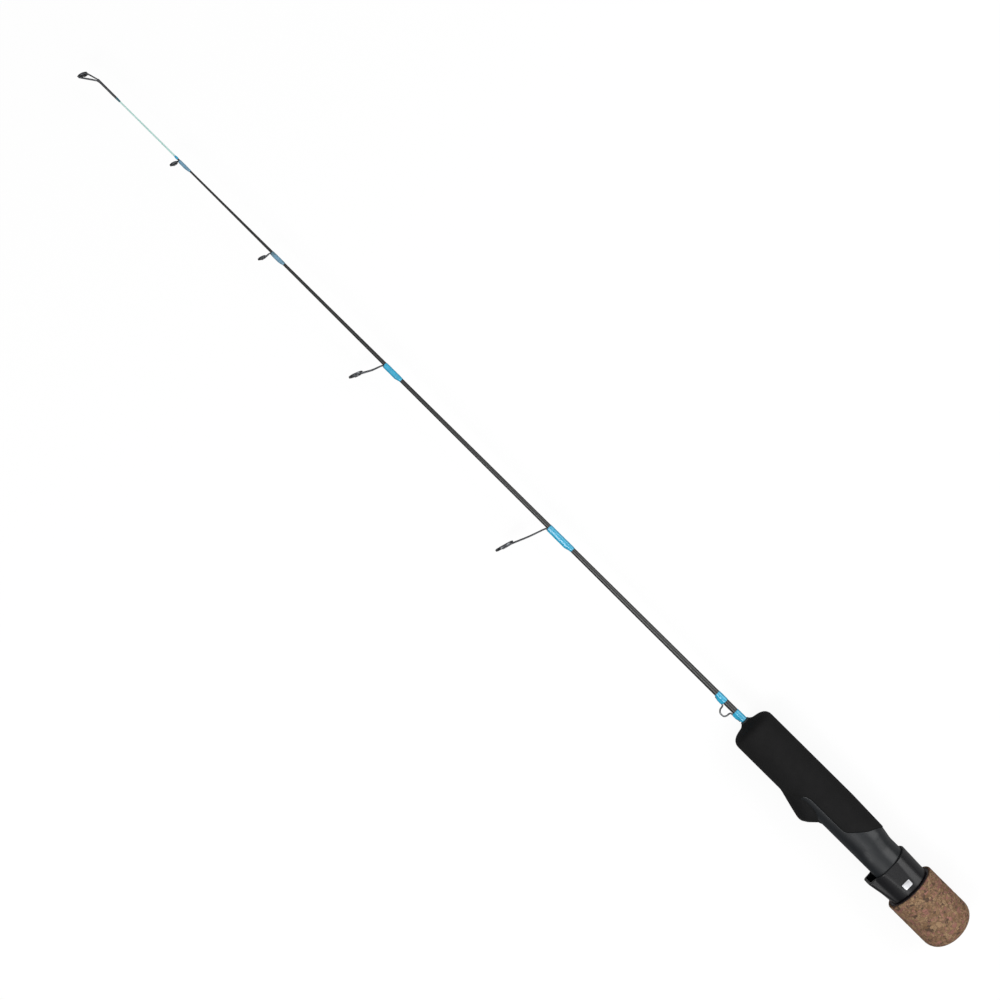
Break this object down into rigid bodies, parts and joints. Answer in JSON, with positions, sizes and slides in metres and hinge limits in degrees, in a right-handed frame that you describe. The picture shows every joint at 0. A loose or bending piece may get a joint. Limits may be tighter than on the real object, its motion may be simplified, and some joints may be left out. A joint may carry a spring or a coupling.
{
  "type": "ice fishing rod",
  "caption": "Short light rod with graphite blank, single-foot line guides, bright tip, foam foregrip and screw-locked reel seat with cork knob.",
  "frame": {"origin": "centre of the flat of the reel seat that the reel's foot rests on", "axes": "+X along the rod to its tip, +Y away from the seat towards the reel and the line guides, +Z to the rod's side"},
  "size_m": [0.7128, 0.047, 0.0328],
  "materials": {
    "graphite_blank": "clear-coated graphite tube, satin gloss",
    "tip_glass": "pale mint solid fibreglass under clear varnish",
    "guide_frame": "dark gunmetal plated wire, glossy",
    "guide_insert": "black polished ceramic ring",
    "wrap_blue": "bright cyan-blue thread under clear epoxy",
    "wrap_dark": "dark teal thread under clear epoxy",
    "keeper_steel": "bent stainless wire, satin",
    "check_rubber": "dark rubber winding check",
    "foam": "black closed-cell EVA foam, fine matte sanded grain",
    "seat_plastic": "moulded black graphite-filled plastic, soft gloss",
    "arbor_cork": "plain cork arbor",
    "hood_plastic": "moulded black plastic, soft gloss",
    "inlay_metal": "plain polished plate with no mark",
    "nut_plastic": "moulded dark plastic, satin",
    "burl_cork": "rubberised burl cork, brown with red, tan and dark granules"
  },
  "bodies": {
    "rod": {"blank": "graphite_blank", "tip_section": "tip_glass", "tip_top_frame": "guide_frame", "tip_top_ring": "guide_insert", "tip_top_wrap": "wrap_dark", "splice_wrap": "wrap_blue", "hook_keeper": "keeper_steel", "keeper_front_wrap": "wrap_blue", "keeper_rear_wrap": "wrap_blue", "winding_check": "check_rubber", "foregrip": "foam", "reel_seat": "seat_plastic", "front_arbor": "arbor_cork", "rear_arbor": "arbor_cork", "guide_1_frame": "guide_frame", "guide_1_ring": "guide_insert", "guide_1_wrap": "wrap_blue", "guide_2_frame": "guide_frame", "guide_2_ring": "guide_insert", "guide_2_wrap": "wrap_blue", "guide_3_frame": "guide_frame", "guide_3_ring": "guide_insert", "guide_3_wrap": "wrap_blue", "guide_4_frame": "guide_frame", "guide_4_ring": "guide_insert", "guide_4_wrap": "wrap_blue"},
    "hood": {"sliding_hood": "hood_plastic", "hood_inlays": "inlay_metal"},
    "knob": {"lock_nut": "nut_plastic", "cork_knob": "burl_cork"}
  },
  "joints": [
    {"name": "hood_slide", "type": "slide", "parent": "rod", "child": "hood", "axis": [1, 0, 0], "range_m": [0, 0.0095]},
    {"name": "knob_turn", "type": "hinge", "parent": "hood", "child": "knob", "pos_m": [-0.056, -0.0096, 0], "axis": [1, 0, 0], "range_deg": [0, 1710]}
  ],
  "couplings": [
    {"joint": "hood_slide", "follows": "knob_turn", "m_per_rad": 0.0003183}
  ]
}
